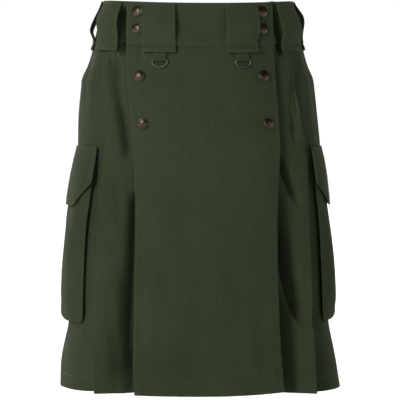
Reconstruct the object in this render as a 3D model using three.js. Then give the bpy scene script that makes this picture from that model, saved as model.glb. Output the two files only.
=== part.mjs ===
// A utility kilt in olive cotton drill, as worn but with no wearer: a flat front apron snapped over two
// side panels, a pleated back, a contoured waistband with wide belt loops, two cargo pockets and two D-rings.
// Millimetres. +Z is up, the front faces -Y and +X is the viewer's right. The origin is the centre of the
// waistband's ring, half way up its height.
import * as THREE from 'three';

// Cloth
const DRILL_THICK = 1.2;
const BAND_THICK = 2.6;
const LOOP_THICK = 2.0;
const SEAM_GAP = 0.3;
const LAID_GAP = 0.8;
const BAND_ROWS = [33, 11, -11, -33];
const BAND_UNDERLAP = 34;

// Heights, before the waistline's dip at the front
const BAND_TOP = 33;
const BAND_BOTTOM = -33;
const HEM = -584;
const FRONT_DIP = 8;
const DIP_FULL_ABOVE = -60;
const DIP_GONE_BELOW = -250;

// The hanging cloth's middle, level by level: half width, and depth to the front and to the back. twist is
// how far along itself the ring has turned, and lean how far it has swung to the right.
const RINGS = [
  { z: 33, side: 152, front: 112, back: 105, twist: -4, lean: 0 },
  { z: -35, side: 167, front: 119, back: 116, twist: -4, lean: 0 },
  { z: -70, side: 177, front: 122, back: 123, twist: -2, lean: -0.5 },
  { z: -90, side: 186, front: 124, back: 127, twist: -1, lean: -1 },
  { z: -105, side: 188, front: 125, back: 130, twist: 0, lean: -0.5 },
  { z: -150, side: 192, front: 128, back: 136, twist: 3, lean: 0 },
  { z: -200, side: 195, front: 130, back: 140, twist: 5, lean: 1.5 },
  { z: -300, side: 199, front: 134, back: 143, twist: 5, lean: 0.5 },
  { z: -400, side: 204, front: 139, back: 146, twist: 5, lean: 0 },
  { z: -480, side: 210, front: 146, back: 150, twist: 5, lean: 0 },
  { z: -540, side: 221, front: 154, back: 155, twist: 5, lean: 1 },
  { z: -584, side: 226, front: 160, back: 160, twist: 5, lean: 4 },
];
// Distances along the cloth from the front centre to the apron's edge and to the two folds of the front
// pleat. box and knife are the widths at the back of half the box pleat and of one knife pleat, and layer
// is the space between folded layers.
const PLEATS = [
  { z: 33, apron: 118, pleatIn: 108, pleatOut: 158, box: 22, knife: 33, layer: 2.5 },
  { z: -35, apron: 118, pleatIn: 108, pleatOut: 160, box: 24, knife: 35, layer: 2.5 },
  { z: -90, apron: 118, pleatIn: 108, pleatOut: 160, box: 27, knife: 39, layer: 2.7 },
  { z: -105, apron: 118, pleatIn: 108, pleatOut: 160, box: 28, knife: 40, layer: 2.7 },
  { z: -150, apron: 117, pleatIn: 109, pleatOut: 163, box: 30, knife: 42, layer: 2.8 },
  { z: -200, apron: 116, pleatIn: 110, pleatOut: 167, box: 31, knife: 44, layer: 3.0 },
  { z: -300, apron: 112, pleatIn: 112, pleatOut: 175, box: 33, knife: 46, layer: 3.6 },
  { z: -400, apron: 113, pleatIn: 117, pleatOut: 179, box: 36, knife: 49, layer: 4.4 },
  { z: -480, apron: 115, pleatIn: 122, pleatOut: 182, box: 38, knife: 51, layer: 5.2 },
  { z: -540, apron: 117, pleatIn: 127, pleatOut: 182, box: 40, knife: 53, layer: 6.0 },
  { z: -584, apron: 118, pleatIn: 130, pleatOut: 182, box: 42, knife: 54, layer: 6.5 },
];
const FRONT_ROUNDNESS = 2.3;
const BACK_ROUNDNESS = 2.2;
const RING_STEPS = 360;

// How far the front pleat's face stands in or out of the ring at its two folds, and how much deeper the
// cloth under the apron lies, on each side.
const FRONT_PLEAT = [
  { z: -33, inLeft: -2, outLeft: -1, inRight: -2, outRight: -1, recessLeft: 0, recessRight: 0 },
  { z: -100, inLeft: -8, outLeft: 0, inRight: -6, outRight: 0, recessLeft: 2, recessRight: 2 },
  { z: -200, inLeft: -9, outLeft: 2, inRight: -10, outRight: 2, recessLeft: 4, recessRight: 4 },
  { z: -300, inLeft: -11, outLeft: 4, inRight: -13, outRight: 4, recessLeft: 6, recessRight: 8 },
  { z: -400, inLeft: -15, outLeft: 6, inRight: -15, outRight: 6, recessLeft: 10, recessRight: 9 },
  { z: -500, inLeft: -17, outLeft: 9, inRight: -14, outRight: 11, recessLeft: 12, recessRight: 8 },
  { z: -584, inLeft: -16, outLeft: 12, inRight: -10, outRight: 14, recessLeft: 13, recessRight: 6 },
];
const PLEAT_UNDERLAP = 18;
const APRON_UNDERLAP = 52;
const KNIFE_UNDERLAP = 17;
const KNIFE_PLEATS = 3;
const SEAM_UNDER = 9;
const PANEL_RISE = 34;

// Soft hanging folds, from top to bottom: distance from the front centre, height, depth and half width.
const SOFT_FOLDS = [
  { side: -1, topS: 146, topZ: -62, lowS: 128, lowZ: -205, depth: 5, half: 9 },
  { side: -1, topS: 122, topZ: -345, lowS: 136, lowZ: -505, depth: 5, half: 12 },
  { side: 1, topS: 158, topZ: -68, lowS: 150, lowZ: -200, depth: 4, half: 8 },
  { side: 1, topS: 122, topZ: -222, lowS: 152, lowZ: -285, depth: 7, half: 9 },
  { side: 1, topS: 118, topZ: -330, lowS: 168, lowZ: -460, depth: 9, half: 12 },
];
const SKIRT_ROWS = [-34, -52, -75, -100, -135, -170, -210, -255, -300, -350, -400, -450, -495, -540, -584];
const HEM_LIFT_FROM = -480;
const LEFT_HEM_SHORT = 3;

// Where things lie outside the ring. The apron and its band lie over the side panels and the main band.
const SKIRT_OUT = -1;
const BAND_OUT = -1;
const APRON_OUT = 2.5;

// Belt loops: middle from the front centre at top and bottom. stand is how far the left and the right
// loop stand off the band, peak is how far down each stands off most, and flat is how much further out a
// loop's edges stand.
const LOOP_WIDE = 51;
const LOOPS = [
  { name: 'front', topS: 64, lowS: 64, onFront: true, flat: 1.2, stand: [7.5, 7.5], peak: [0.55, 0.55] },
  { name: 'hip', topS: 153, lowS: 160, onFront: false, flat: 1.5, stand: [6.5, 6.5], peak: [0.45, 0.75] },
  { name: 'side', topS: 228, lowS: 232, onFront: false, flat: 2, stand: [5.5, 7.5], peak: [0.7, 0.42] },
];
const BACK_LOOP = { onFront: false, flat: 2, stand: 7, peak: 0.5 };
const LOOP_ROWS = [32.6, 28, 21, 13, 4, -5, -13, -20, -26, -31.5, -38, -45];
const LOOP_TACK = -31.5;
const LOOP_TAB_FROM = -37;
const TAB_LIFT = 2.9;

// D-rings and the cloth tabs that hold them
const RING_WIRE = 2.4;
const RING_OUTER_WIDE = 26;
const RING_BAR_Z = -57;
const TAB_WIDE = 19.5;
const TAB_TOP_Z = -39.5;
const TAB_PLY = 1.15;
const BAR_CLEARANCE = 0.4;

// Snap caps: distance from the front centre and height
const SNAP_RADIUS = 8.5;
const SNAP_HIGH = 3.6;
const SNAP_GAP = 0.45;
const SNAPS = [
  { name: 'band_upper', s: 98.5, z: 17, onBand: true },
  { name: 'band_lower', s: 98.5, z: -9.5, onBand: true },
  { name: 'apron_upper', s: 97.5, z: -83, onBand: false },
  { name: 'apron_lower', s: 98, z: -160, onBand: false },
];

// Cargo pockets and flaps. middle is the pocket's middle from the front centre, which moves back as the
// skirt widens, and stand is how far the pocket's face stands off the panel. At each side edge the face
// overhangs a gusset that is tucked in under it.
const POCKET_HALF = 84;
const POCKET_LEVELS = [
  { z: -198, middle: 273, stand: 1.6 },
  { z: -218, middle: 273, stand: 1.6 },
  { z: -245, middle: 275, stand: 5.5 },
  { z: -284, middle: 279, stand: 9.3 },
  { z: -340, middle: 286, stand: 13.5 },
  { z: -390, middle: 289, stand: 15.5 },
  { z: -440, middle: 290, stand: 14.5 },
  { z: -476, middle: 290, stand: 10 },
];
const POCKET_ROWS = [-218, -232, -250, -284, -320, -360, -400, -435, -459];
const POCKET_FLOOR = [
  { z: -468, share: 0.84, inset: 2 },
  { z: -474, share: 0.45, inset: 6 },
  { z: -476, share: 0, inset: 10 },
];
const GUSSET_TUCK = 0.42;
const FLAP_THICK = 1.8;
const FLAP_HALF = 90;
const FLAP_TOP = -198;
const FLAP_SIDE = 56;
const FLAP_LONG = 94;
const FLAP_FLAT_HALF = 56;
const FLAP_CLEAR = 2.4;
const FLAP_RISE = 24;

const OLIVE = new THREE.MeshStandardMaterial({ color: 0x3a4130, roughness: 0.9, metalness: 0 });
const BRONZE = new THREE.MeshStandardMaterial({ color: 0x4a3226, roughness: 0.38, metalness: 1 });
const DARK_WIRE = new THREE.MeshStandardMaterial({ color: 0x4c4b44, roughness: 0.35, metalness: 1 });

const clamp01 = (x) => Math.min(1, Math.max(0, x));
const smooth = (x) => clamp01(x) ** 2 * (3 - 2 * clamp01(x));
const mix = (a, b, share) => a + (b - a) * share;

// A column of a table at height z, on a smooth curve through the rows, which run downwards.
function valueAt(table, column, z) {
  const last = table.length - 1;
  if (z >= table[0].z) return table[0][column];
  if (z <= table[last].z) return table[last][column];
  const k = table.findIndex((row) => row.z < z) - 1;
  const slopeAt = (i) => {
    const a = table[Math.max(i - 1, 0)];
    const b = table[Math.min(i + 1, last)];
    return (b[column] - a[column]) / (b.z - a.z);
  };
  const span = table[k + 1].z - table[k].z;
  const t = (z - table[k].z) / span;
  const leaving = slopeAt(k) * span * (t ** 3 - 2 * t ** 2 + t);
  const arriving = slopeAt(k + 1) * span * (t ** 3 - t ** 2);
  return mix(table[k][column], table[k + 1][column], 3 * t ** 2 - 2 * t ** 3) + leaving + arriving;
}
const level = (column, z) => valueAt(column in RINGS[0] ? RINGS : PLEATS, column, z);

// Half of the ring at height z, from the front centre round the right side to the back centre, as points
// with the distance along it.
const ringCache = new Map();
function ringAt(z) {
  if (ringCache.has(z)) return ringCache.get(z);
  const side = level('side', z);
  const points = [];
  for (let i = 0; i <= RING_STEPS; i++) {
    const angle = (Math.PI * i) / RING_STEPS;
    const forward = Math.cos(angle);
    const power = 2 / (forward > 0 ? FRONT_ROUNDNESS : BACK_ROUNDNESS);
    const depth = forward > 0 ? level('front', z) : level('back', z);
    const x = side * Math.abs(Math.sin(angle)) ** power;
    const y = -Math.sign(forward) * depth * Math.abs(forward) ** power;
    const before = points[i - 1];
    const s = before ? before.s + Math.hypot(x - before.x, y - before.y) : 0;
    points.push({ x, y, s });
  }
  const ring = { points, length: points[RING_STEPS].s };
  ringCache.set(z, ring);
  return ring;
}

// The point at distance s round the ring from the front centre, right positive, moved out by out.
// The ring is turned and swung aside, and its front dips below its sides at the waist.
function place(s, out, z) {
  const { points, length } = ringAt(z);
  let turned = s + level('twist', z);
  if (turned > length) turned -= 2 * length;
  if (turned < -length) turned += 2 * length;
  const mirror = turned < 0 ? -1 : 1;
  const along = Math.abs(turned);
  const k = Math.min(Math.max(points.findIndex((p) => p.s >= along), 1), RING_STEPS);
  const a = points[k - 1];
  const b = points[k];
  const share = (along - a.s) / (b.s - a.s);
  const before = points[Math.max(k - 3, 0)];
  const after = points[Math.min(k + 2, RING_STEPS)];
  const reach = Math.hypot(after.x - before.x, after.y - before.y);
  const normal = { x: (after.y - before.y) / reach, y: -(after.x - before.x) / reach };
  const x = mix(a.x, b.x, share);
  const y = mix(a.y, b.y, share);
  const frontness = Math.max(0, -y / level('front', z)) ** 2;
  const fade = smooth((z - DIP_GONE_BELOW) / (DIP_FULL_ABOVE - DIP_GONE_BELOW));
  const across = mirror * (x + out * normal.x) + level('lean', z);
  return new THREE.Vector3(across, y + out * normal.y, z - FRONT_DIP * frontness * fade);
}

// How far the soft folds draw the cloth in at this place.
function foldDepth(s, z) {
  let depth = 0;
  for (const fold of SOFT_FOLDS) {
    const down = (z - fold.topZ) / (fold.lowZ - fold.topZ);
    const middle = fold.side * mix(fold.topS, fold.lowS, down);
    const across = (s - middle) / fold.half;
    const window = smooth(4 * down) * smooth(4 * (1 - down));
    depth += fold.depth * window * Math.exp(-(across ** 2));
  }
  return depth;
}

// A closed wall of the given thickness round a grid of points, rows of equal length. Each point is moved
// both ways so that every face beside it moves by half the thickness.
function wall(grid, thickness) {
  const rows = grid.length;
  const columns = grid[0].length;
  const faceNormal = (j, i) => {
    const down = new THREE.Vector3().subVectors(grid[j + 1][i + 1], grid[j][i]);
    const across = new THREE.Vector3().subVectors(grid[j][i + 1], grid[j + 1][i]);
    return down.cross(across).normalize();
  };
  const shifted = (j, i) => {
    const m = new THREE.Matrix3().set(1e-3, 0, 0, 0, 1e-3, 0, 0, 0, 1e-3);
    const sum = new THREE.Vector3();
    for (const [fj, fi] of [[j - 1, i - 1], [j - 1, i], [j, i - 1], [j, i]]) {
      if (fj < 0 || fi < 0 || fj >= rows - 1 || fi >= columns - 1) continue;
      const n = faceNormal(fj, fi);
      const outer = [n.x, n.y, n.z].flatMap((a) => [a * n.x, a * n.y, a * n.z]);
      m.elements.forEach((value, e) => { m.elements[e] = value + outer[e]; });
      sum.add(n);
    }
    const move = sum.applyMatrix3(m.invert()).multiplyScalar(thickness / 2);
    return move.clampLength(0, thickness);
  };
  const corner = [];
  for (const sign of [1, -1]) {
    for (let j = 0; j < rows; j++) {
      for (let i = 0; i < columns; i++) corner.push(grid[j][i].clone().addScaledVector(shifted(j, i), sign));
    }
  }
  const at = (layer, j, i) => layer * rows * columns + j * columns + i;
  const index = [];
  const quad = (a, b, c, d) => index.push(a, b, c, a, c, d);
  for (let j = 0; j < rows - 1; j++) {
    for (let i = 0; i < columns - 1; i++) {
      quad(at(0, j, i), at(0, j + 1, i), at(0, j + 1, i + 1), at(0, j, i + 1));
      quad(at(1, j, i), at(1, j, i + 1), at(1, j + 1, i + 1), at(1, j + 1, i));
    }
  }
  for (let j = 0; j < rows - 1; j++) {
    quad(at(0, j + 1, 0), at(0, j, 0), at(1, j, 0), at(1, j + 1, 0));
    quad(at(0, j, columns - 1), at(0, j + 1, columns - 1), at(1, j + 1, columns - 1), at(1, j, columns - 1));
  }
  for (let i = 0; i < columns - 1; i++) {
    quad(at(0, 0, i), at(0, 0, i + 1), at(1, 0, i + 1), at(1, 0, i));
    quad(at(0, rows - 1, i + 1), at(0, rows - 1, i), at(1, rows - 1, i), at(1, rows - 1, i + 1));
  }
  const geometry = new THREE.BufferGeometry().setFromPoints(corner);
  geometry.setIndex(index);
  geometry.computeVertexNormals();
  return geometry;
}

function named(name, geometry, material) {
  const mesh = new THREE.Mesh(geometry, material);
  mesh.name = name;
  return mesh;
}
const spread = (from, to, count) => Array.from({ length: count }, (_, i) => mix(from, to, i / (count - 1)));
const sideName = (side) => (side < 0 ? 'left' : 'right');

// How much the hem's last rows hang lower or higher than the plain hem.
const hemShare = (z) => smooth((HEM_LIFT_FROM - z) / (HEM_LIFT_FROM - HEM));

// Points of a side panel across one level, from its edge under the apron to the seam with the back:
// the deep cloth under the apron, the front pleat with its two underlaps, and the panel the pocket is on.
function sidePanelRow(side, z) {
  const which = side < 0 ? 'Left' : 'Right';
  const layer = level('layer', z);
  const foldIn = level('pleatIn', z);
  const foldOut = level('pleatOut', z);
  const outAtIn = valueAt(FRONT_PLEAT, 'in' + which, z) + SKIRT_OUT;
  const outAtOut = valueAt(FRONT_PLEAT, 'out' + which, z) + SKIRT_OUT;
  const recess = valueAt(FRONT_PLEAT, 'recess' + which, z);
  const face = (s) => mix(outAtIn, outAtOut, (s - foldIn) / (foldOut - foldIn)) - foldDepth(side * s, z);
  const seam = backSeam(z);
  const lift = hemShare(z);
  const points = [
    { s: level('apron', z) - APRON_UNDERLAP, out: outAtIn - 2 * layer - recess, lift: 3 },
    { s: foldIn - 4, out: outAtIn - 2 * layer - recess, lift: 3 },
    { s: foldIn + PLEAT_UNDERLAP, out: face(foldIn + PLEAT_UNDERLAP) - 2 * layer, lift: 2 },
    { s: foldIn + PLEAT_UNDERLAP, out: face(foldIn + PLEAT_UNDERLAP) - layer, lift: 1 },
    { s: foldIn, out: face(foldIn) - layer, lift: 0 },
  ];
  for (const share of [0, 0.22, 0.44, 0.66, 0.86, 1]) {
    const s = mix(foldIn, foldOut, share);
    points.push({ s, out: face(s), lift: -1 });
  }
  points.push(
    { s: foldOut, out: face(foldOut) - layer, lift: 0 },
    { s: foldOut - PLEAT_UNDERLAP, out: face(foldOut - PLEAT_UNDERLAP) - layer, lift: 1 },
    { s: foldOut - PLEAT_UNDERLAP, out: face(foldOut - PLEAT_UNDERLAP) - 2 * layer, lift: 2 },
    { s: foldOut, out: face(foldOut) - 2 * layer - 0.5 * recess, lift: 2 },
  );
  const firstOut = face(foldOut) - 2 * layer - 0.5 * recess;
  for (const s of spread(foldOut + PANEL_RISE / 2, seam - 26, 9)) {
    const rise = smooth((s - foldOut) / PANEL_RISE);
    points.push({ s, out: mix(firstOut, SKIRT_OUT, rise), lift: 0 });
  }
  const seamOut = SKIRT_OUT - 2 * layer;
  points.push({ s: seam - 14, out: seamOut, lift: 0 }, { s: seam, out: seamOut, lift: 0 });
  const short = (s) => (side < 0 ? LEFT_HEM_SHORT * clamp01((seam - 30 - s) / 60) : 0);
  return points.map((p) => place(side * p.s, p.out, z + (p.lift + short(p.s)) * lift));
}

// The seam with the back lies a little way under the first knife pleat.
const backReach = (z) => level('box', z) + KNIFE_PLEATS * level('knife', z);
const backSeam = (z) => ringAt(z).length - backReach(z) + SEAM_UNDER;

// Points across one level of the back, from the right seam to the left one. Each pleat's face starts at an
// inner fold under its neighbour and ends at its own outer fold, and the box pleat has two outer folds.
function backRow(z) {
  const layer = level('layer', z);
  const half = [];
  const reach = backReach(z);
  half.push({ across: reach - SEAM_UNDER - 2 * SEAM_GAP, out: -2 * layer });
  for (let k = KNIFE_PLEATS; k >= 0; k--) {
    const fold = level('box', z) + k * level('knife', z);
    half.push({ across: fold - KNIFE_UNDERLAP, out: -2 * layer });
    half.push({ across: fold - KNIFE_UNDERLAP, out: -layer });
    half.push({ across: fold, out: -layer });
    half.push({ across: fold, out: 0 });
    if (k === 0) break;
    const next = fold - level('knife', z);
    half.push({ across: mix(fold, next, 0.5), out: -0.5 * layer });
    half.push({ across: next + 3, out: -1.0 * layer });
  }
  half.push({ across: level('box', z) / 2, out: 0 });
  const otherHalf = half.toReversed().map((p) => ({ across: -p.across, out: p.out }));
  const whole = [...half, { across: 0, out: 0 }, ...otherHalf];
  return whole.map((p) => {
    const side = p.across < 0 ? -1 : 1;
    return place(side * (ringAt(z).length - Math.abs(p.across)), p.out + SKIRT_OUT, z);
  });
}

// The apron hangs as one flat-fronted panel that draws in a little between hip and hem.
function apronOut(s, z) {
  const half = level('apron', z);
  const edge = Math.abs(s / half);
  const swing = smooth((-120 - z) / 300);
  return APRON_OUT - 1.5 * swing * (1 - edge ** 2) + (s < 0 ? 2 : -1) * swing * edge ** 3;
}
function apron() {
  const rows = SKIRT_ROWS.map((z) => {
    const half = level('apron', z);
    const lift = (share) => hemShare(z) * (share > 0 ? 4 * share ** 2 : 1.5 * share ** 2);
    return spread(-1, 1, 17).map((share) => place(share * half, apronOut(share * half, z), z + lift(share)));
  });
  return named('apron', wall(rows, DRILL_THICK), OLIVE);
}

function sidePanel(side) {
  const rows = SKIRT_ROWS.map((z) => {
    const row = sidePanelRow(side, z);
    return side < 0 ? row.toReversed() : row;
  });
  return named('side_panel_' + sideName(side), wall(rows, DRILL_THICK), OLIVE);
}

const backPanel = () => named('back_pleats', wall(SKIRT_ROWS.map(backRow), DRILL_THICK), OLIVE);

// The main band runs from under one edge of the apron's band, round the back, to under the other.
function mainBand() {
  const rows = BAND_ROWS.map((z) => {
    const { length } = ringAt(z);
    const start = level('apron', z) - BAND_UNDERLAP;
    const around = spread(start, 2 * length - start, 49);
    return around.map((s) => place(s > length ? s - 2 * length : s, BAND_OUT, z));
  });
  return named('waistband_main', wall(rows, BAND_THICK), OLIVE);
}
function apronBand() {
  const rows = BAND_ROWS.map((z) => {
    const half = level('apron', z);
    return spread(-half, half, 15).map((s) => place(s, APRON_OUT, z));
  });
  return named('waistband_apron', wall(rows, BAND_THICK), OLIVE);
}

// A belt loop is a strap sewn down at the top of the band and below its middle, standing off between. A
// front loop's lower end also lies over a D-ring's tab.
function beltLoop(name, middleAt, loop, stand, peak) {
  const face = (loop.onFront ? APRON_OUT : BAND_OUT) + (BAND_THICK + LOOP_THICK) / 2 + LAID_GAP;
  const rows = LOOP_ROWS.map((z) => {
    const down = clamp01((LOOP_ROWS[0] - z) / (LOOP_ROWS[0] - LOOP_TACK));
    const share = down < peak ? smooth(down / peak) : smooth((1 - down) / (1 - peak));
    const lift = loop.onFront ? TAB_LIFT * clamp01((LOOP_TACK - z) / (LOOP_TACK - LOOP_TAB_FROM)) : 0;
    return spread(-1, 1, 5).map((across) => {
      const out = face + share * (stand + loop.flat * across ** 2) + lift;
      return place(middleAt(z) + (across * LOOP_WIDE) / 2, out, z);
    });
  });
  return named('loop_' + name, wall(rows, LOOP_THICK), OLIVE);
}
function beltLoops() {
  const loops = [];
  for (const loop of LOOPS) {
    const middle = (z) => mix(loop.topS, loop.lowS, (BAND_TOP - z) / (BAND_TOP - BAND_BOTTOM));
    loops.push(beltLoop(loop.name + '_left', (z) => -middle(z), loop, loop.stand[0], loop.peak[0]));
    loops.push(beltLoop(loop.name + '_right', middle, loop, loop.stand[1], loop.peak[1]));
  }
  const backMiddle = (z) => ringAt(z).length - level('twist', z);
  loops.push(beltLoop('back', backMiddle, BACK_LOOP, BACK_LOOP.stand, BACK_LOOP.peak));
  return loops;
}

// Turns a mesh so that its own Z points straight out of the cloth at (s, z) and its own X lies along it.
function seat(mesh, s, out, z) {
  const along = place(s + 6, 0, z).sub(place(s - 6, 0, z)).normalize();
  const lean = place(s, 0, z + 8).sub(place(s, 0, z - 8));
  const outward = new THREE.Vector3().crossVectors(along, lean).normalize();
  const up = new THREE.Vector3().crossVectors(outward, along);
  mesh.quaternion.setFromRotationMatrix(new THREE.Matrix4().makeBasis(along, up, outward));
  mesh.position.copy(place(s, 0, z).addScaledVector(outward, out));
  return mesh;
}

// A pressed cap: a rolled rim, a groove inside it and a low dome.
function snapCap() {
  const profile = [
    [0, 0],
    [SNAP_RADIUS - 0.5, 0],
    [SNAP_RADIUS, 0.8],
    [SNAP_RADIUS - 0.6, 1.7],
    [SNAP_RADIUS - 1.6, 1.5],
    [SNAP_RADIUS * 0.62, 2.8],
    [SNAP_RADIUS * 0.32, SNAP_HIGH - 0.2],
    [0, SNAP_HIGH],
  ];
  const cap = new THREE.LatheGeometry(profile.map(([r, h]) => new THREE.Vector2(r, h)), 18);
  return cap.rotateX(Math.PI / 2);
}
function snaps() {
  const caps = [];
  for (const { name, s, z, onBand } of SNAPS) {
    for (const side of [-1, 1]) {
      const thick = onBand ? BAND_THICK : DRILL_THICK;
      const base = (onBand ? APRON_OUT : apronOut(side * s, z)) + thick / 2 + SNAP_GAP;
      const cap = named('snap_' + name + '_' + sideName(side), snapCap(), BRONZE);
      caps.push(seat(cap, side * s, base, z));
    }
  }
  return caps;
}

// The wire's middle line: a straight bar and half a ring under it, with a small bend at each corner.
class RingLine extends THREE.Curve {
  getPoint(t, target = new THREE.Vector3()) {
    const radius = (RING_OUTER_WIDE - RING_WIRE) / 2;
    const bend = 2.2;
    const bar = 2 * (radius - bend);
    const corner = (bend * Math.PI) / 2;
    const arc = Math.PI * (radius - bend);
    const total = bar + 2 * corner + arc;
    let left = t * total;
    if (left <= bar) return target.set(-bar / 2 + left, 0, 0);
    left -= bar;
    if (left <= corner) {
      const a = left / bend;
      return target.set(bar / 2 + bend * Math.sin(a), -bend + bend * Math.cos(a), 0);
    }
    left -= corner;
    if (left <= arc) {
      const a = left / (radius - bend);
      return target.set(radius * Math.cos(a), -bend - (radius - bend) * Math.sin(a), 0);
    }
    const a = (left - arc) / bend;
    return target.set(-bar / 2 - bend * Math.cos(a), -bend + bend * Math.sin(a), 0);
  }
}
const tabBase = (side) => apronOut(side * LOOPS[0].lowS, RING_BAR_Z) + DRILL_THICK / 2 + SEAM_GAP;
const bulb = () => RING_WIRE / 2 + BAR_CLEARANCE + TAB_PLY;
function dRing(side) {
  const wire = new THREE.TubeGeometry(new RingLine(), 44, RING_WIRE / 2, 8, true);
  const ring = named('d_ring_' + sideName(side), wire, DARK_WIRE);
  return seat(ring, side * LOOPS[0].lowS, tabBase(side) + bulb(), RING_BAR_Z);
}

// A doubled strip that comes from under the belt loop and is folded round the D-ring's bar.
function ringTab(side) {
  const outer = bulb();
  const strip = 2 * TAB_PLY + 0.2;
  const high = TAB_TOP_Z - RING_BAR_Z;
  const profile = new THREE.Shape();
  profile.moveTo(-outer, high);
  profile.lineTo(-outer, 0);
  profile.absarc(0, 0, outer, Math.PI, 2 * Math.PI + 0.35, false);
  profile.lineTo(-outer + strip, outer + 3.2);
  profile.lineTo(-outer + strip, high);
  const channel = new THREE.Path();
  channel.absarc(0, 0, RING_WIRE / 2 + BAR_CLEARANCE, 0, 2 * Math.PI, true);
  profile.holes.push(channel);
  const options = { depth: TAB_WIDE, bevelEnabled: false, curveSegments: 8 };
  const cloth = new THREE.ExtrudeGeometry(profile, options);
  cloth.translate(0, 0, -TAB_WIDE / 2);
  cloth.applyMatrix4(new THREE.Matrix4().set(0, 0, -1, 0, 0, 1, 0, 0, 1, 0, 0, 0, 0, 0, 0, 1));
  const tab = named('ring_tab_' + sideName(side), cloth, OLIVE);
  return seat(tab, side * LOOPS[0].lowS, tabBase(side) + outer, RING_BAR_Z);
}

// A bellows pocket: its face stands off the panel on a gusset down both sides and along the bottom.
const panelFace = SKIRT_OUT + DRILL_THICK + LAID_GAP;
const pocketStand = (z) => valueAt(POCKET_LEVELS, 'stand', z);
const pocketMiddle = (z) => valueAt(POCKET_LEVELS, 'middle', z);
function pocket(side) {
  const acrossRow = (z, stand, inset) => {
    const half = POCKET_HALF - inset;
    const tuck = stand * GUSSET_TUCK;
    const edge = [{ s: half - 0.6 * tuck, out: 0 }, { s: half - tuck, out: stand / 2 }];
    const face = spread(half, -half, 9).map((s) => ({ s, out: stand }));
    const row = [...edge, ...face, ...edge.toReversed().map((p) => ({ s: -p.s, out: p.out }))].toReversed();
    return row.map((p) => place(side * (pocketMiddle(z) + p.s), panelFace + p.out, z));
  };
  const rows = POCKET_ROWS.map((z) => acrossRow(z, pocketStand(z), 0));
  const deepest = pocketStand(POCKET_ROWS.at(-1));
  for (const { z, share, inset } of POCKET_FLOOR) rows.push(acrossRow(z, share * deepest, inset));
  const grid = side < 0 ? rows.map((row) => row.toReversed()) : rows;
  return named('pocket_' + sideName(side), wall(grid, DRILL_THICK), OLIVE);
}

// The flap is sewn above the pocket's mouth and hangs over it, with its lower corners cut off.
function pocketFlap(side) {
  const shares = [0, 0.1, 0.22, 0.4, 0.6, 0.8, 1];
  const rows = shares.map((share) =>
    spread(-FLAP_HALF, FLAP_HALF, 13).map((s) => {
      const slant = clamp01((FLAP_HALF - Math.abs(s)) / (FLAP_HALF - FLAP_FLAT_HALF));
      const z = FLAP_TOP - share * mix(FLAP_SIDE, FLAP_LONG, slant);
      const off = smooth((FLAP_TOP - z) / FLAP_RISE);
      const over = pocketStand(z) + FLAP_CLEAR;
      return place(side * (pocketMiddle(z) + s), panelFace + SEAM_GAP + off * over, z);
    }),
  );
  const grid = side < 0 ? rows.map((row) => row.toReversed()) : rows;
  return named('pocket_flap_' + sideName(side), wall(grid, FLAP_THICK), OLIVE);
}

const kilt = new THREE.Group();
kilt.add(apron(), backPanel(), mainBand(), apronBand(), ...beltLoops(), ...snaps());
for (const side of [-1, 1]) {
  kilt.add(sidePanel(side), pocket(side), pocketFlap(side), ringTab(side), dRing(side));
}
export default kilt;
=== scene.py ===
import math

import bpy
import numpy as np
from mathutils import Matrix, Vector


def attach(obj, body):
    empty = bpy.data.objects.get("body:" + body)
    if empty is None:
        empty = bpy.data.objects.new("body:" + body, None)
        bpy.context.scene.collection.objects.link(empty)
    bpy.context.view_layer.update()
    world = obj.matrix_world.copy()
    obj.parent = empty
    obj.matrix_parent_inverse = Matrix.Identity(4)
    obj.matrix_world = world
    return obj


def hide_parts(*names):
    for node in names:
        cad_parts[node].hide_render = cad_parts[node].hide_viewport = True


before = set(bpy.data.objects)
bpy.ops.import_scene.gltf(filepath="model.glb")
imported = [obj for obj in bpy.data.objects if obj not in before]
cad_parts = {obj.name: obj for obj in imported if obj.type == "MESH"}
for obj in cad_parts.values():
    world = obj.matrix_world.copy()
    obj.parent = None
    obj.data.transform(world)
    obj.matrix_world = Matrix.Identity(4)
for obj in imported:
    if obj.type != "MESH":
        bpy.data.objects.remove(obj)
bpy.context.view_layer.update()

MM = 0.001

# Cloth sizes
DRILL_THICK = 1.2
BAND_THICK = 2.6
LOOP_THICK = 2.0
FLAP_THICK = 1.8
LAID_GAP = 0.8
SEAM_GAP = 0.3
BAND_TOP, BAND_BOTTOM = 33, -33
SKIRT_TOP, HEM = -31, -584
HEM_DEPTH = 22
FRONT_DIP, DIP_FULL_ABOVE, DIP_GONE_BELOW = 8, -60, -250
FRONT_ROUNDNESS, BACK_ROUNDNESS = 2.3, 2.2
SKIRT_OUT, BAND_OUT, APRON_OUT = -1, -1, 2.5
PLEAT_UNDERLAP, APRON_UNDERLAP, BAND_UNDERLAP = 18, 52, 34
KNIFE_UNDERLAP, KNIFE_PLEATS, SEAM_UNDER, PANEL_RISE = 17, 3, 9, 34
TUCK_FROM, TUCK_TO = 26, 14
HEM_LIFT_FROM, LEFT_HEM_SHORT = -480, 3


def table(columns, *rows):
    return {name: np.array([row[i] for row in rows], float) for i, name in enumerate(columns.split())}


# The hanging cloth's middle at each height: half width, depth to the front and back, turn and sideways swing
RINGS = table(
    "z side front back twist lean",
    (33, 152, 112, 105, -4, 0), (-35, 167, 119, 116, -4, 0), (-70, 177, 122, 123, -2, -0.5),
    (-90, 186, 124, 127, -1, -1), (-105, 188, 125, 130, 0, -0.5), (-150, 192, 128, 136, 3, 0),
    (-200, 195, 130, 140, 5, 1.5), (-300, 199, 134, 143, 5, 0.5), (-400, 204, 139, 146, 5, 0),
    (-480, 210, 146, 150, 5, 0), (-540, 221, 154, 155, 5, 1), (-584, 226, 160, 160, 5, 4),
)
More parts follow.
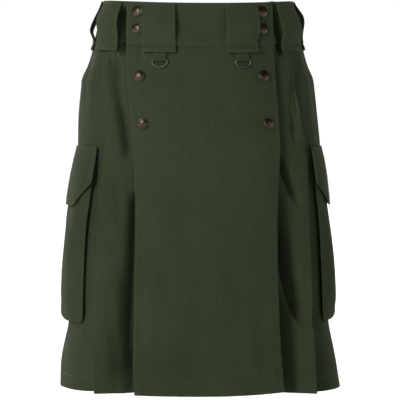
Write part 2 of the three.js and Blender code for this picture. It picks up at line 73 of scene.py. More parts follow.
# Distances to the apron's edge and the front pleat's two folds, half the box pleat's width, a knife
# pleat's width and the space between folded layers
PLEATS = table(
    "z apron pleat_in pleat_out box knife layer",
    (33, 118, 108, 158, 22, 33, 2.5), (-35, 118, 108, 160, 24, 35, 2.5),
    (-90, 118, 108, 160, 27, 39, 2.7), (-105, 118, 108, 160, 28, 40, 2.7),
    (-150, 117, 109, 163, 30, 42, 2.8), (-200, 116, 110, 167, 31, 44, 3.0),
    (-300, 112, 112, 175, 33, 46, 3.6), (-400, 113, 117, 179, 36, 49, 4.4),
    (-480, 115, 122, 182, 38, 51, 5.2), (-540, 117, 127, 182, 40, 53, 6.0),
    (-584, 118, 130, 182, 42, 54, 6.5),
)
# How far the front pleat's face stands in or out at its folds, how deep the cloth under the apron lies, how
# late the face rises from one fold to the other, and how much narrower it hangs
FRONT_PLEAT = table(
    "z in_left out_left in_right out_right deep_left deep_right bow_left bow_right narrow_left narrow_right",
    (-33, -2, -1, -2, -1, 0, 0, 1, 1, 0, 0), (-100, -8, 0, -6, 0, 2, 2, 1, 1, 0, 0),
    (-200, -9, 2, -10, 2, 4, 4, 1, 1.1, 0, 0), (-300, -11, 4, -14, 4, 6, 8, 1.1, 1.3, 0, 0),
    (-400, -15, 6, -18, 6, 9, 8, 1.2, 1.7, 0, 1), (-500, -17, 9, -18, 10, 10, 7, 1.3, 2.1, 0, 5),
    (-584, -16, 12, -15, 13, 12, 5, 1.3, 2.2, 0, 11),
)
POCKET_LEVELS = table(
    "z middle stand",
    (-198, 273, 1.6), (-218, 273, 1.6), (-245, 275, 5.5), (-284, 279, 9.3), (-340, 286, 13.5),
    (-390, 289, 15.5), (-440, 290, 14.5), (-476, 290, 10),
)


def clamp01(x):
    return np.clip(x, 0, 1)


def smooth(x):
    x = clamp01(x)
    return x * x * (3 - 2 * x)


def mix(a, b, share):
    return a + (b - a) * share


def value_at(rows, column, z):
    """A column of a table at height z, on a smooth curve through its rows, which run downwards."""
    zs, values = rows["z"], rows[column]
    if z >= zs[0]:
        return values[0]
    if z <= zs[-1]:
        return values[-1]
    k = int(np.argmax(zs < z)) - 1

    def slope(i):
        a, b = max(i - 1, 0), min(i + 1, len(zs) - 1)
        return (values[b] - values[a]) / (zs[b] - zs[a])

    span = zs[k + 1] - zs[k]
    t = (z - zs[k]) / span
    leaving = slope(k) * span * (t**3 - 2 * t**2 + t)
    arriving = slope(k + 1) * span * (t**3 - t**2)
    return mix(values[k], values[k + 1], 3 * t**2 - 2 * t**3) + leaving + arriving


def level(column, z):
    return value_at(RINGS if column in RINGS else PLEATS, column, z)


ring_store = {}


def ring_at(z):
    """Half of the ring at height z, from front centre round the right side to back centre."""
    if z not in ring_store:
        angle = np.linspace(0, math.pi, 721)
        forward = np.cos(angle)
        power = np.where(forward > 0, 2 / FRONT_ROUNDNESS, 2 / BACK_ROUNDNESS)
        depth = np.where(forward > 0, level("front", z), level("back", z))
        x = level("side", z) * np.abs(np.sin(angle)) ** power
        y = -np.sign(forward) * depth * np.abs(forward) ** power
        s = np.concatenate([[0], np.cumsum(np.hypot(np.diff(x), np.diff(y)))])
        even = np.linspace(0, s[-1], 301)
        x, y = np.interp(even, s, x), np.interp(even, s, y)
        dx, dy = np.gradient(x), np.gradient(y)
        dx[0], dy[0], dx[-1], dy[-1] = 1, 0, -1, 0
        reach = np.hypot(dx, dy)
        ring_store[z] = even, x, y, dy / reach, -dx / reach
    return ring_store[z]


def ring_length(z):
    return ring_at(z)[0][-1]


def place(s, out, z, lift=0):
    """Points at distances s round the ring at height z, moved out of the cloth by out and up by lift."""
    along, xs, ys, nxs, nys = ring_at(z)
    length = along[-1]
    turned = np.asarray(s, float) + level("twist", z)
    turned = np.where(turned > length, turned - 2 * length, turned)
    turned = np.where(turned < -length, turned + 2 * length, turned)
    mirror = np.where(turned < 0, -1, 1)
    at = np.abs(turned)
    y = np.interp(at, along, ys)
    frontness = np.maximum(0, -y / level("front", z)) ** 2
    fade = smooth((z - DIP_GONE_BELOW) / (DIP_FULL_ABOVE - DIP_GONE_BELOW))
    x = mirror * (np.interp(at, along, xs) + out * np.interp(at, along, nxs)) + level("lean", z)
    y = y + out * np.interp(at, along, nys)
    return np.stack([x, y, z + lift - FRONT_DIP * frontness * fade + 0 * x], axis=-1)


# Soft hanging folds of the front pleats, as the cloth falls
SOFT_FOLDS = table(
    "top_s top_z low_s low_z depth half",
    (-144, -50, -138, -132, 9, 9), (-140, -110, -129, -226, 13, 6.5), (-114, -262, -122, -420, 24, 9.5),
    (-122, -378, -136, -585, 30, 14), (-117, -500, -146, -660, 10, 7), (-150, -470, -158, -620, 3, 8),
    (158, -68, 148, -200, 8, 6.5), (112, -206, 160, -292, 17, 6.5), (110, -262, 152, -392, 8, 10),
    (113, -300, 174, -494, 29, 10), (114, -285, 122, -520, 10, 10), (124, -375, 134, -800, 16, 19),
)
# Smaller creases that run through all layers: puckers under the band, drag lines beside the snaps and
# pockets, and slack in the panels
CREASES = table(
    "top_s top_z low_s low_z depth half",
    (-141, -40, -139, -78, 1.5, 4), (-152, -40, -150, -92, 1.35, 4), (-131, -40, -128, -70, 1.2, 4),
    (-170, -40, -176, -120, 1.65, 7), (-205, -40, -214, -150, 1.95, 9), (-243, -40, -250, -130, 1.5, 9),
    (-95, -28, -96, -66, 3.6, 2.6), (144, -40, 143, -84, 1.35, 4), (171, -40, 179, -118, 1.65, 7),
    (207, -40, 214, -160, 1.95, 9), (245, -40, 252, -126, 1.5, 9), (-88, -96, -52, -140, 1.2, 10),
    (90, -98, 58, -150, 1.2, 10), (-84, -172, -40, -226, 1.2, 13), (84, -172, 44, -232, 1.2, 13),
    (-30, -60, -22, -150, 0.9, 12), (28, -70, 34, -170, 0.9, 13), (-62, -330, -74, -560, 1.8, 16),
    (-12, -380, -18, -584, 1.5, 18), (40, -340, 52, -575, 1.8, 17), (84, -400, 92, -584, 1.5, 12),
    (-98, -380, -104, -584, 1.8, 9), (134, -120, 141, -152, 2.4, 7), (140, -300, 160, -345, 2.4, 9),
    (-150, -230, -140, -330, 2.25, 9), (-160, -420, -152, -570, 2.7, 8), (160, -470, 150, -578, 2.4, 9),
    (-196, -210, -190, -330, 1.8, 8), (193, -210, 189, -310, 1.8, 8), (-352, -230, -372, -400, 3, 12),
    (356, -260, 378, -430, 3, 12), (-395, -120, -372, -250, 2.25, 12), (392, -150, 368, -270, 2.25, 12),
    (-330, -70, -344, -190, 1.8, 10), (328, -70, 338, -180, 1.8, 10), (-440, -300, -428, -520, 2.1, 11),
    (436, -330, 430, -540, 2.1, 11),
)
# Snap caps: distance from the front centre and height
BAND_SNAPS = [("band_upper", 98.5, 17), ("band_lower", 98.5, -9.5)]
APRON_SNAPS = [("apron_upper", 97.5, -83), ("apron_lower", 98, -160)]
# The cloth's faint unevenness: its depth, its closest waves across and down, in radians for each
# millimetre, and each wave's own share of these and its start
UNEVEN_DEEP, UNEVEN_ACROSS, UNEVEN_DOWN = 0.16, 0.11, 0.05
RIPPLES = np.random.default_rng(11).uniform(-1, 1, (14, 3))


def troughs(rows, s, z):
    """How deep the folds or creases of a table are at s and z. Each fades in and out at its two ends."""
    depth = np.zeros_like(np.asarray(s, float))
    for top_s, top_z, low_s, low_z, deep, half in zip(*rows.values()):
        down = (z - top_z) / (low_z - top_z)
        if not 0 < down < 1:
            continue
        across = (s - mix(top_s, low_s, down)) / half
        depth += deep * smooth(4 * down) * smooth(4 * (1 - down)) * np.exp(-(across**2))
    return depth


def dimples(s, z, snaps, deep, wide):
    """The shallow dishes that closed snaps press into the cloth round them."""
    away = [(np.abs(s) - snap_s) ** 2 + (z - snap_z) ** 2 for _, snap_s, snap_z in snaps]
    return -deep * sum(np.exp(-square / wide**2) for square in away)


def relief(s, z):
    """How far the cloth lies in or out of its plain form: creases, dimples at the snaps and faint unevenness,
    which starts under the band."""
    s = np.asarray(s, float)
    out = dimples(s, z, APRON_SNAPS, 0.7, 12) - troughs(CREASES, s, z)
    slack = smooth((SKIRT_TOP - 6 - z) / 60)
    for across, down, start in RIPPLES:
        out += slack * UNEVEN_DEEP * np.sin(across * s * UNEVEN_ACROSS + down * z * UNEVEN_DOWN + 9 * start)
    return out


GROOVE_HALF = 1.3


def groove(x, lines, deep=0.4):
    """The shallow channel that a row of stitching pulls into the cloth."""
    return -sum(deep * np.exp(-(((x - line) / GROOVE_HALF) ** 2)) for line in lines)


def spacing(start, end, step, lines=()):
    """Even steps from start to end, with three more close to each stitched line."""
    values = np.linspace(start, end, int(round(abs(end - start) / step)) + 1)
    close = [line + d for line in lines for d in (-1.6, 0, 1.6)]
    keep = [v for v in values if all(abs(v - c) > 1.1 for c in close) or v in (start, end)]
    return np.array(sorted(keep + close, reverse=end < start))


def rounded_path(points, counts, guard=3.0):
    """A path through (s, out, lift) points whose corners are rounded as folded cloth is. counts has the
    number of steps on each straight stretch."""
    points = np.asarray(points, float)
    path, turns = [points[0]], [0.0]
    for k in range(len(points) - 1):
        a, b = points[k], points[k + 1]
        length = np.linalg.norm((b - a)[:2])
        first = 0 if k == 0 else min(guard, length / 2, np.linalg.norm((a - points[k - 1])[:2]) / 2)
        last = 0
        if k + 2 < len(points):
            last = min(guard, length / 2, np.linalg.norm((points[k + 2] - b)[:2]) / 2)
        for i in range(1, counts[k]):
            path.append(mix(a, b, mix(first / length, 1 - last / length, i / counts[k])))
            turns.append(0)
        if k + 2 < len(points):
            after = points[k + 2] - b
            start, end = mix(b, a, last / length), b + after * last / np.linalg.norm(after[:2])
            bend = np.dot((b - a)[:2], after[:2]) / (length * np.linalg.norm(after[:2]))
            sharp = float(smooth(1 - bend))
            for t in (0.1, 0.3, 0.5, 0.7, 0.9):
                path.append((1 - t) ** 2 * start + 2 * t * (1 - t) * b + t**2 * end)
                turns.append(sharp * (1 - abs(2 * t - 1)))
    path.append(points[-1])
    turns.append(0)
    return np.array(path), np.array(turns)


def steps_between(points, step):
    """How many steps each stretch of a path needs."""
    points = np.asarray(points, float)
    lengths = np.linalg.norm(np.diff(points[:, :2], axis=0), axis=1)
    return [max(1, int(round(length / step))) for length in lengths]


# Materials


def linear(hex_code):
    """An sRGB hex colour as linear red, green, blue and alpha."""
    parts = [int(hex_code[i : i + 2], 16) / 255 for i in (1, 3, 5)]
    return [c / 12.92 if c <= 0.04045 else ((c + 0.055) / 1.055) ** 2.4 for c in parts] + [1.0]


def add(tree, kind, links=None, **settings):
    """A node of this kind in the tree. settings are its properties or, by name or number, its inputs, and
    links join its inputs to other nodes' outputs."""
    node = tree.nodes.new(kind)
    for key, value in settings.items():
        if hasattr(node, key):
            setattr(node, key, value)
        else:
            node.inputs[int(key[1:]) if key[1:].isdigit() else key.replace("_", " ")].default_value = value
    for key, source in (links or {}).items():
        tree.links.new(source, node.inputs[key])
    return node


def new_material(name):
    material = bpy.data.materials.new(name)
    material.use_nodes = True
    material.node_tree.nodes.clear()
    return material, material.node_tree


def per(size):
    """The scale of a noise pattern whose grains are this many millimetres wide."""
    return 1 / (size * MM)


def cotton_drill(name, dark, light, worn):
    """Dyed cotton drill: a matt cloth woven in a steep left-to-right twill, with slubs in its yarns. It
    drinks light, with a faint bloom at grazing angles, and pales where folds and edges rub."""
    material, tree = new_material(name)
    cloth = add(tree, "ShaderNodeUVMap", uv_map="cloth").outputs["UV"]
    here = add(tree, "ShaderNodeTexCoord").outputs["Object"]
    # The real twill lines lie 0.7 mm apart. They are drawn 1.5 mm apart, or they would not show. At scale 1
    # the lines of a wave pattern lie a tenth of pi apart.
    turned = add(tree, "ShaderNodeMapping", {"Vector": cloth}, Rotation=(0, 0, math.radians(-38)))
    twill = add(
        tree, "ShaderNodeTexWave", {"Vector": turned.outputs["Vector"]}, bands_direction="X",
        wave_profile="SIN", Scale=math.pi / 10 * per(1.496), Distortion=1.2, Detail=2.0, Detail_Scale=3.0,
    )
    # Slubs of 1.6 mm, and streaks of thicker yarn 3 mm wide and eight times as long, both as on real drill
    slub = add(tree, "ShaderNodeTexNoise", {"Vector": cloth}, Scale=per(1.613), Detail=3.0, Roughness=0.65)
    long = add(tree, "ShaderNodeMapping", {"Vector": cloth}, Scale=(1.0, 0.12, 1.0))
    streak = add(tree, "ShaderNodeTexNoise", {"Vector": long.outputs["Vector"]}, Scale=per(2.94), Detail=2.0)
    yarn = add(tree, "ShaderNodeMath", {0: twill.outputs["Fac"], 1: slub.outputs["Fac"]}, operation="ADD")
    grain = add(tree, "ShaderNodeMath", {0: yarn.outputs[0], 1: streak.outputs["Fac"]}, operation="ADD")
    share = add(tree, "ShaderNodeMapRange", {"Value": grain.outputs[0]}, From_Min=0.7, From_Max=2.2)
    body = add(
        tree, "ShaderNodeMix", {"Factor": share.outputs[0]},
        data_type="RGBA", _6=linear(dark), _7=linear(light),
    )
    # Uneven fading from washing, in patches a hand wide
    cloud = add(tree, "ShaderNodeTexNoise", {"Vector": here}, Scale=per(143), Detail=3.0, Roughness=0.55)
    faded = add(
        tree, "ShaderNodeMapRange", {"Value": cloud.outputs["Fac"]},
        From_Min=0.3, From_Max=0.75, To_Min=0.86, To_Max=1.1,
    )
    dyed = add(
        tree, "ShaderNodeVectorMath", {0: body.outputs[2], "Scale": faded.outputs[0]}, operation="SCALE",
    )
    wear = add(tree, "ShaderNodeAttribute", attribute_name="wear").outputs["Fac"]
    patchy = add(tree, "ShaderNodeMath", {0: wear, 1: slub.outputs["Fac"]}, operation="MULTIPLY")
    colour = add(
        tree, "ShaderNodeMix", {"Factor": patchy.outputs[0], 6: dyed.outputs[0]},
        data_type="RGBA", _7=linear(worn),
    )
    weave = add(tree, "ShaderNodeBump", {"Height": grain.outputs[0]}, Strength=0.55, Distance=0.35 * MM)
    bsdf = add(
        tree, "ShaderNodeBsdfPrincipled",
        {"Base Color": colour.outputs[2], "Normal": weave.outputs["Normal"]},
        Roughness=0.92, IOR=1.45, Specular_IOR_Level=0.14,
        Sheen_Weight=0.02, Sheen_Roughness=0.5, Sheen_Tint=linear("#8c9070"),
    )
    add(tree, "ShaderNodeOutputMaterial", {"Surface": bsdf.outputs["BSDF"]})
    return material


def sewing_thread():
    """Cotton-wrapped polyester thread, dyed to match and a little shinier than the drill. Its fibres are
    drawn as grains of 1.1 mm, far coarser than they are, so that they show."""
    material, tree = new_material("cotton_wrapped_thread")
    here = add(tree, "ShaderNodeTexCoord").outputs["Object"]
    fibre = add(tree, "ShaderNodeTexNoise", {"Vector": here}, Scale=per(1.11), Detail=2.0)
    colour = add(
        tree, "ShaderNodeMix", {"Factor": fibre.outputs["Fac"]}, data_type="RGBA",
        _6=linear("#232a1c"), _7=linear("#343c28"),
    )
    twist = add(tree, "ShaderNodeBump", {"Height": fibre.outputs["Fac"]}, Strength=0.4, Distance=0.2 * MM)
    bsdf = add(
        tree, "ShaderNodeBsdfPrincipled",
        {"Base Color": colour.outputs[2], "Normal": twist.outputs["Normal"]},
        Roughness=0.6, IOR=1.5, Sheen_Weight=0.1,
    )
    add(tree, "ShaderNodeOutputMaterial", {"Surface": bsdf.outputs["BSDF"]})
    return material


def antique_bronze(name, low, high, rough):
    """Brass pressed or drawn, then browned in a chemical bath and lacquered. High spots are rubbed back to
    warmer, smoother metal and the hollows stay nearly black. The browning is mottled in spots of 2.4 mm."""
    material, tree = new_material(name)
    here = add(tree, "ShaderNodeTexCoord").outputs["Object"]
    tarnish = add(tree, "ShaderNodeTexNoise", {"Vector": here}, Scale=per(2.38), Detail=4.0, Roughness=0.6)
    rub = add(tree, "ShaderNodeAttribute", attribute_name="wear").outputs["Fac"]
    mottled = add(
        tree, "ShaderNodeMath", {0: tarnish.outputs["Fac"], 1: rub}, operation="MULTIPLY_ADD", _2=0.15,
    )
    colour = add(
        tree, "ShaderNodeMix", {"Factor": mottled.outputs[0]},
        data_type="RGBA", _6=linear(low), _7=linear(high),
    )
    satin = add(
        tree, "ShaderNodeMapRange", {"Value": mottled.outputs[0]},
        From_Min=0.2, From_Max=0.65, To_Min=rough + 0.13, To_Max=rough - 0.04,
    )
    pits = add(tree, "ShaderNodeBump", {"Height": tarnish.outputs["Fac"]}, Strength=0.25, Distance=0.2 * MM)
    bsdf = add(
        tree, "ShaderNodeBsdfPrincipled",
        {"Base Color": colour.outputs[2], "Roughness": satin.outputs[0], "Normal": pits.outputs["Normal"]},
        Metallic=1.0,
    )
    add(tree, "ShaderNodeOutputMaterial", {"Surface": bsdf.outputs["BSDF"]})
    return material


PANEL_DRILL = cotton_drill("cotton_drill_panels", "#2c3424", "#3d4631", "#3f4933")
BAND_DRILL = cotton_drill("cotton_drill_bands", "#2c3423", "#3d4630", "#404a34")
THREAD = sewing_thread()
SNAP_BRONZE = antique_bronze("antique_bronze_caps", "#1e130f", "#74695c", 0.25)
RING_BRONZE = antique_bronze("dark_bronze_wire", "#35322a", "#8b8675", 0.3)


# Mesh helpers


def only(obj):
    bpy.ops.object.select_all(action="DESELECT")
    bpy.context.view_layer.objects.active = obj
    obj.select_set(True)


def new_object(name, vertices, faces, material):
    mesh = bpy.data.meshes.new(name)
    mesh.from_pydata([tuple(v) for v in vertices], [], faces)
    mesh.materials.append(material)
    obj = bpy.data.objects.new(name, mesh)
    bpy.context.scene.collection.objects.link(obj)
    return obj


def set_attribute(mesh, name, values):
    mesh.attributes.new(name, "FLOAT", "POINT").data.foreach_set("value", np.asarray(values, np.float32))


sheets = {}
EDGE_WEAR_REACH, FOLD_WEAR = 1.5, 0.8


def cloth(name, rows, us, vs, thick, material, turns=None, outward=None):
    """A piece of cloth as a thin shell round a grid of points in millimetres. us and vs are the distances
    across and down it, which carry the weave. turns says how sharply each point is folded."""
    grid = np.array(rows)
    tall, wide = grid.shape[:2]
    index = np.arange(tall * wide).reshape(tall, wide)
    quads = np.stack([index[:-1, :-1], index[1:, :-1], index[1:, 1:], index[:-1, 1:]], axis=-1).reshape(-1, 4)
    flat = grid.reshape(-1, 3)
    normals = np.cross(np.gradient(grid, axis=1), np.gradient(grid, axis=0))
    normals /= np.maximum(np.linalg.norm(normals, axis=2, keepdims=True), 1e-9)
    away = grid * (1, 1, 0) if outward is None else np.broadcast_to(np.array(outward), grid.shape)
    if np.sum(normals * away) < 0:
        normals = -normals
    face_normals = np.cross(flat[quads[:, 2]] - flat[quads[:, 0]], flat[quads[:, 3]] - flat[quads[:, 1]])
    if np.sum(face_normals * normals.reshape(-1, 3)[quads[:, 0]]) < 0:
        quads = quads[:, ::-1]
    obj = new_object(name, flat * MM, quads.tolist(), material)
    mesh = obj.data
    uv = np.stack(np.broadcast_arrays(us[None, :], vs[:, None]), axis=-1).reshape(-1, 2) * MM
    corners = np.empty(len(mesh.loops), int)
    mesh.loops.foreach_get("vertex_index", corners)
    mesh.uv_layers.new(name="cloth").data.foreach_set("uv", uv[corners].ravel().astype(np.float32))
    u_edge = np.minimum(np.abs(us - us[0]), np.abs(us - us[-1]))
    v_edge = np.minimum(np.abs(vs - vs[0]), np.abs(vs - vs[-1]))
    wear = np.exp(-np.minimum(u_edge[None, :], v_edge[:, None]) / EDGE_WEAR_REACH)
    if turns is not None:
        wear = np.maximum(wear, FOLD_WEAR * turns)
    set_attribute(mesh, "wear", np.broadcast_to(wear, (tall, wide)).ravel())
    shell = obj.modifiers.new("shell", "SOLIDIFY")
    shell.thickness = thick * MM
    shell.offset = 0
    shell.use_even_offset = True
    edge = obj.modifiers.new("edge", "BEVEL")
    edge.width = 0.3 * thick * MM
    edge.segments = 2
    edge.limit_method = "ANGLE"
    edge.angle_limit = math.radians(60)
    only(obj)
    for modifier in ("shell", "edge"):
        bpy.ops.object.modifier_apply(modifier=modifier)
    bpy.ops.object.shade_smooth_by_angle(angle=math.radians(50))
    sheets[name] = {"grid": grid, "normals": normals, "us": us, "vs": vs, "thick": thick}
    return obj


def look_up(sheet, u, v, what):
    """A value of a sheet's grid at distances u across it and v down it."""
    us, vs, grid = sheet["us"], sheet["vs"], sheet[what]
    columns, rows = np.arange(len(us)), np.arange(len(vs))
    i = np.interp(u, us, columns) if us[-1] > us[0] else np.interp(u, us[::-1], columns[::-1])
    j = np.interp(v, vs, rows) if vs[-1] > vs[0] else np.interp(v, vs[::-1], rows[::-1])
    i0 = np.clip(i.astype(int), 0, len(us) - 2)
    j0 = np.clip(j.astype(int), 0, len(vs) - 2)
    di, dj = (i - i0)[:, None], (j - j0)[:, None]
    upper = mix(grid[j0, i0], grid[j0, i0 + 1], di)
    lower = mix(grid[j0 + 1, i0], grid[j0 + 1, i0 + 1], di)
    return mix(upper, lower, dj)


def row_of(piece, *corners, step=1.5):
    """Points and normals on a cloth piece's outer face along straight lines between (u, v) corners."""
    sheet = sheets[piece.name]
    us, vs = [], []
    for (u0, v0), (u1, v1) in zip(corners, corners[1:]):
        count = max(2, int(math.hypot(u1 - u0, v1 - v0) / step))
        share = np.linspace(0, 1, count + 1)
        us.append(mix(u0, u1, share))
        vs.append(mix(v0, v1, share))
    us, vs = np.concatenate(us), np.concatenate(vs)
    normals = look_up(sheet, us, vs, "normals")
    normals /= np.linalg.norm(normals, axis=1, keepdims=True)
    return look_up(sheet, us, vs, "grid") + normals * sheet["thick"] / 2, normals


# A stitch's cross sections: place along it, thickness and sinking at its ends
STITCH_SECTIONS = ((-0.5, 0.4, -0.2), (-0.32, 1, 0), (0.32, 1, 0), (0.5, 0.4, -0.2))
STITCH_SIDES, STITCH_RADIUS, STITCH_RISE, STITCH_AIM = 5, 0.36, 0.1, 0.6


def sample(values, run, at):
    """Points or normals, known at distances run along a row, at the distances at."""
    return np.stack([np.interp(at, run, values[:, k]) for k in range(3)], axis=1)


def stitching(name, rows, pitch=3.6, long=2.7, across=False):
    """Lockstitches along rows on the cloth, joined into one mesh. Real thread is 0.4 mm thick and is drawn
    0.7 mm thick, so that it shows. A bar tack's stitches lie across its row."""
    vertices, faces = [], []
    for points, normals in rows:
        run = np.concatenate([[0], np.cumsum(np.linalg.norm(np.diff(points, axis=0), axis=1))])
        count = max(1, int(run[-1] / pitch))
        centres = (np.arange(count) + 0.5) * run[-1] / count
        middle, normal = sample(points, run, centres), sample(normals, run, centres)
        ahead, behind = sample(points, run, centres + STITCH_AIM), sample(points, run, centres - STITCH_AIM)
        for p, a, b, n in zip(middle, ahead, behind, normal):
            along, up = Vector(a - b), Vector(n).normalized()
            if along.length < 1e-6:
                continue
            along = (along - up * along.dot(up)).normalized()
            if across:
                along = along.cross(up)
            side = up.cross(along)
            base, p = len(vertices), Vector(p)
            for x, swell, sink in STITCH_SECTIONS:
                centre = p + along * x * long + up * (sink + STITCH_RISE)
                for k in range(STITCH_SIDES):
                    turn = 2 * math.pi * k / STITCH_SIDES
                    rim = side * math.cos(turn) + up * math.sin(turn)
                    vertices.append((centre + rim * STITCH_RADIUS * swell) * MM)
            rims = base + np.arange(len(STITCH_SECTIONS) * STITCH_SIDES).reshape(-1, STITCH_SIDES)
            for a0, b0 in zip(rims, rims[1:]):
                faces += np.stack([a0, b0, np.roll(b0, -1), np.roll(a0, -1)], axis=1).tolist()
            faces += [rims[0].tolist(), rims[-1][::-1].tolist()]
    obj = new_object(name, vertices, faces, THREAD)
    only(obj)
    bpy.ops.object.mode_set(mode="EDIT")
    bpy.ops.mesh.select_all(action="SELECT")
    bpy.ops.mesh.normals_make_consistent(inside=False)
    bpy.ops.object.mode_set(mode="OBJECT")
    bpy.ops.object.shade_smooth()
    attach(obj, "kilt")
    return obj


def sewn(piece, node, flat, held, rests_on, seams, area=None, tacks=(), **stitch):
    threads = [stitching(piece.name.replace("_cloth", "_stitches"), seams, **stitch)]
    if tacks:
        threads.append(stitching(node + "_bar_tacks", tacks, pitch=0.8, long=2.4, across=True))
    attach(piece, "kilt")
    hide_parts(node)
    size = [x * MM for x in flat]
    area = None if area is None else area * size[0] * size[1]


def side_name(side):
    return "left" if side < 0 else "right"


# Pieces of cloth


def hem_share(z):
    """How much of the hem's lift is reached at height z."""
    return float(smooth((HEM_LIFT_FROM - z) / (HEM_LIFT_FROM - HEM)))


HEM_ROW = HEM + HEM_DEPTH
UNDER_BAND = -35.2
SKIRT_ROWS = spacing(SKIRT_TOP, HEM, 4.2, [UNDER_BAND, HEM_ROW])


def seam_grooves(z):
    """The cloth is drawn in where it enters the band, and a little along the hem's stitching."""
    return float(groove(z, [UNDER_BAND], 1.1) + groove(z, [HEM_ROW], 0.2))


def apron_out(s, z):
    """How far out the apron hangs: low down its middle is drawn in, its left edge swings out and its right
    edge in."""
    edge = np.abs(s / level("apron", z))
    swing = smooth((-120 - z) / 300)
    return APRON_OUT - 1.5 * swing * (1 - edge**2) + np.where(s < 0, 2, -1) * swing * edge**3


def make_apron():
    """One flat panel over the two side panels, turned in and stitched down both edges and hemmed."""
    half, seam = 116, 110
    us = spacing(-half, half, 3.4, [-seam, seam])
    rows = []
    for z in SKIRT_ROWS:
        share = us / half
        s = share * level("apron", z)
        # The hem rises towards both edges, most on the right
        lift = hem_share(z) * np.where(share > 0, 4 * share**2, 1.5 * share**2)
        sunk = groove(np.abs(us), [seam], 0.18) + seam_grooves(z)
        rows.append(place(s, apron_out(s, z) + relief(s, z) + sunk, z, lift))
    panel = cloth("apron_cloth", rows, us, SKIRT_ROWS, DRILL_THICK, PANEL_DRILL)
    seams = [row_of(panel, (x, -44), (x, HEM + 1)) for x in (-seam, seam)]
    seams.append(row_of(panel, (-half + 2, HEM_ROW), (half - 2, HEM_ROW)))
    sewn(panel, "apron", (236, 570), "hung", "waistband_apron", seams)


def back_reach(z):
    """How far the folded back reaches from its centre to each side."""
    return level("box", z) + KNIFE_PLEATS * level("knife", z)


def back_seam(z):
    return ring_length(z) - back_reach(z) + SEAM_UNDER


def side_panel_path(side, z):
    """Corners of a side panel at one height, from its edge under the apron to the seam with the back: the
    deep cloth under the apron, the front pleat with its underlaps, and the panel that the pocket is on. Each
    corner has s, out and how far its layer's hem is lifted above the plain one."""
    columns = [name + "_" + side_name(side) for name in ("in", "out", "deep", "bow", "narrow")]
    at_in, at_out, deep, bow, narrow = (value_at(FRONT_PLEAT, column, z) for column in columns)
    at_in, at_out = at_in + SKIRT_OUT, at_out + SKIRT_OUT
    layer = level("layer", z)
    fold_in, fold_out = level("pleat_in", z), level("pleat_out", z) - narrow

    def face(s):
        share = float(clamp01((s - fold_in) / (fold_out - fold_in))) ** bow
        return mix(at_in, at_out, share) - float(troughs(SOFT_FOLDS, side * s, z))

    inner, outer = fold_in + PLEAT_UNDERLAP, fold_out - PLEAT_UNDERLAP
    # The cloth under the apron stays behind the pleat's own layers where a hanging fold draws them in
    under = min(at_in - 2 * layer - deep, face(fold_in) - 2 * layer - 1)
    points = [
        (level("apron", z) - APRON_UNDERLAP, at_in - 2 * layer - deep, 3),
        (fold_in - 4, under, 3),
        (inner, face(inner) - 2 * layer - 0.3 * (at_in - face(fold_in)), 2),
        (inner, face(inner) - layer, 1),
        (fold_in, face(fold_in) - layer, 0),
    ]
    points += [(s, face(s), -1) for s in mix(fold_in, fold_out, np.linspace(0, 1, 15))]
    first_out = face(fold_out) - 2 * layer - 0.5 * deep
    points += [
        (fold_out, face(fold_out) - layer, 0),
        (outer, face(outer) - layer, 1),
        (outer, face(outer) - 2 * layer, 2),
        (fold_out, first_out, 2),
    ]
    seam = back_seam(z)
    for s in np.linspace(fold_out + PANEL_RISE / 2, seam - TUCK_FROM, 12):
        points.append((s, mix(first_out, SKIRT_OUT, float(smooth((s - fold_out) / PANEL_RISE))), 0))
    return points + [(seam - TUCK_TO, SKIRT_OUT - 2 * layer, 0), (seam, SKIRT_OUT - 2 * layer, 0)]


def path_lengths(path):
    return np.concatenate([[0], np.cumsum(np.linalg.norm(np.diff(path[:, :2], axis=0), axis=1))])


def make_side_panel(side):
    """Cut in one: the hidden stretch under the apron, the front pleat and the panel under the pocket."""
    middle = side_panel_path(side, -330)
    counts = steps_between(middle, 3.6)
    reference, turns = rounded_path(middle, counts)
    us = side * path_lengths(reference)
    rows = []
    for z in SKIRT_ROWS:
        path, _ = rounded_path(side_panel_path(side, z), counts)
        s, out, lift = path.T
        if side < 0:
            lift = lift + LEFT_HEM_SHORT * clamp01((back_seam(z) - 30 - s) / 60)
        s = side * s
        out = out + relief(s, z) + seam_grooves(z) + hip_hollow(s, z)
        rows.append(place(s, out, z, lift * hem_share(z)))
    name = "side_panel_" + side_name(side)
    panel = cloth(name + "_cloth", rows, us, SKIRT_ROWS, DRILL_THICK, PANEL_DRILL, turns)
    start, end = sorted((us[0] + side * 2, us[-1] - side * 2))
    seams = [row_of(panel, (start, HEM_ROW), (end, HEM_ROW))]
    sewn(panel, name, (430, 570), "hung", "waistband_main", seams)


def back_path(z):
    """Corners of half of the back at one height, from its seam to the centre: each pleat's face starts at an
    inner fold under its neighbour and ends at its own outer fold."""
    layer, box, knife = level("layer", z), level("box", z), level("knife", z)
    half = [(back_reach(z) - SEAM_UNDER - 2 * SEAM_GAP, -2 * layer, 0)]
    for k in range(KNIFE_PLEATS, -1, -1):
        fold = box + k * knife
        half += [(fold - KNIFE_UNDERLAP, -2 * layer, 0), (fold - KNIFE_UNDERLAP, -layer, 0)]
        half += [(fold, -layer, 0), (fold, 0, 0)]
        if k:
            half += [(fold - knife / 2, -0.5 * layer, 0), (fold - knife + 3, -layer, 0)]
    return half + [(box / 2, 0, 0)]


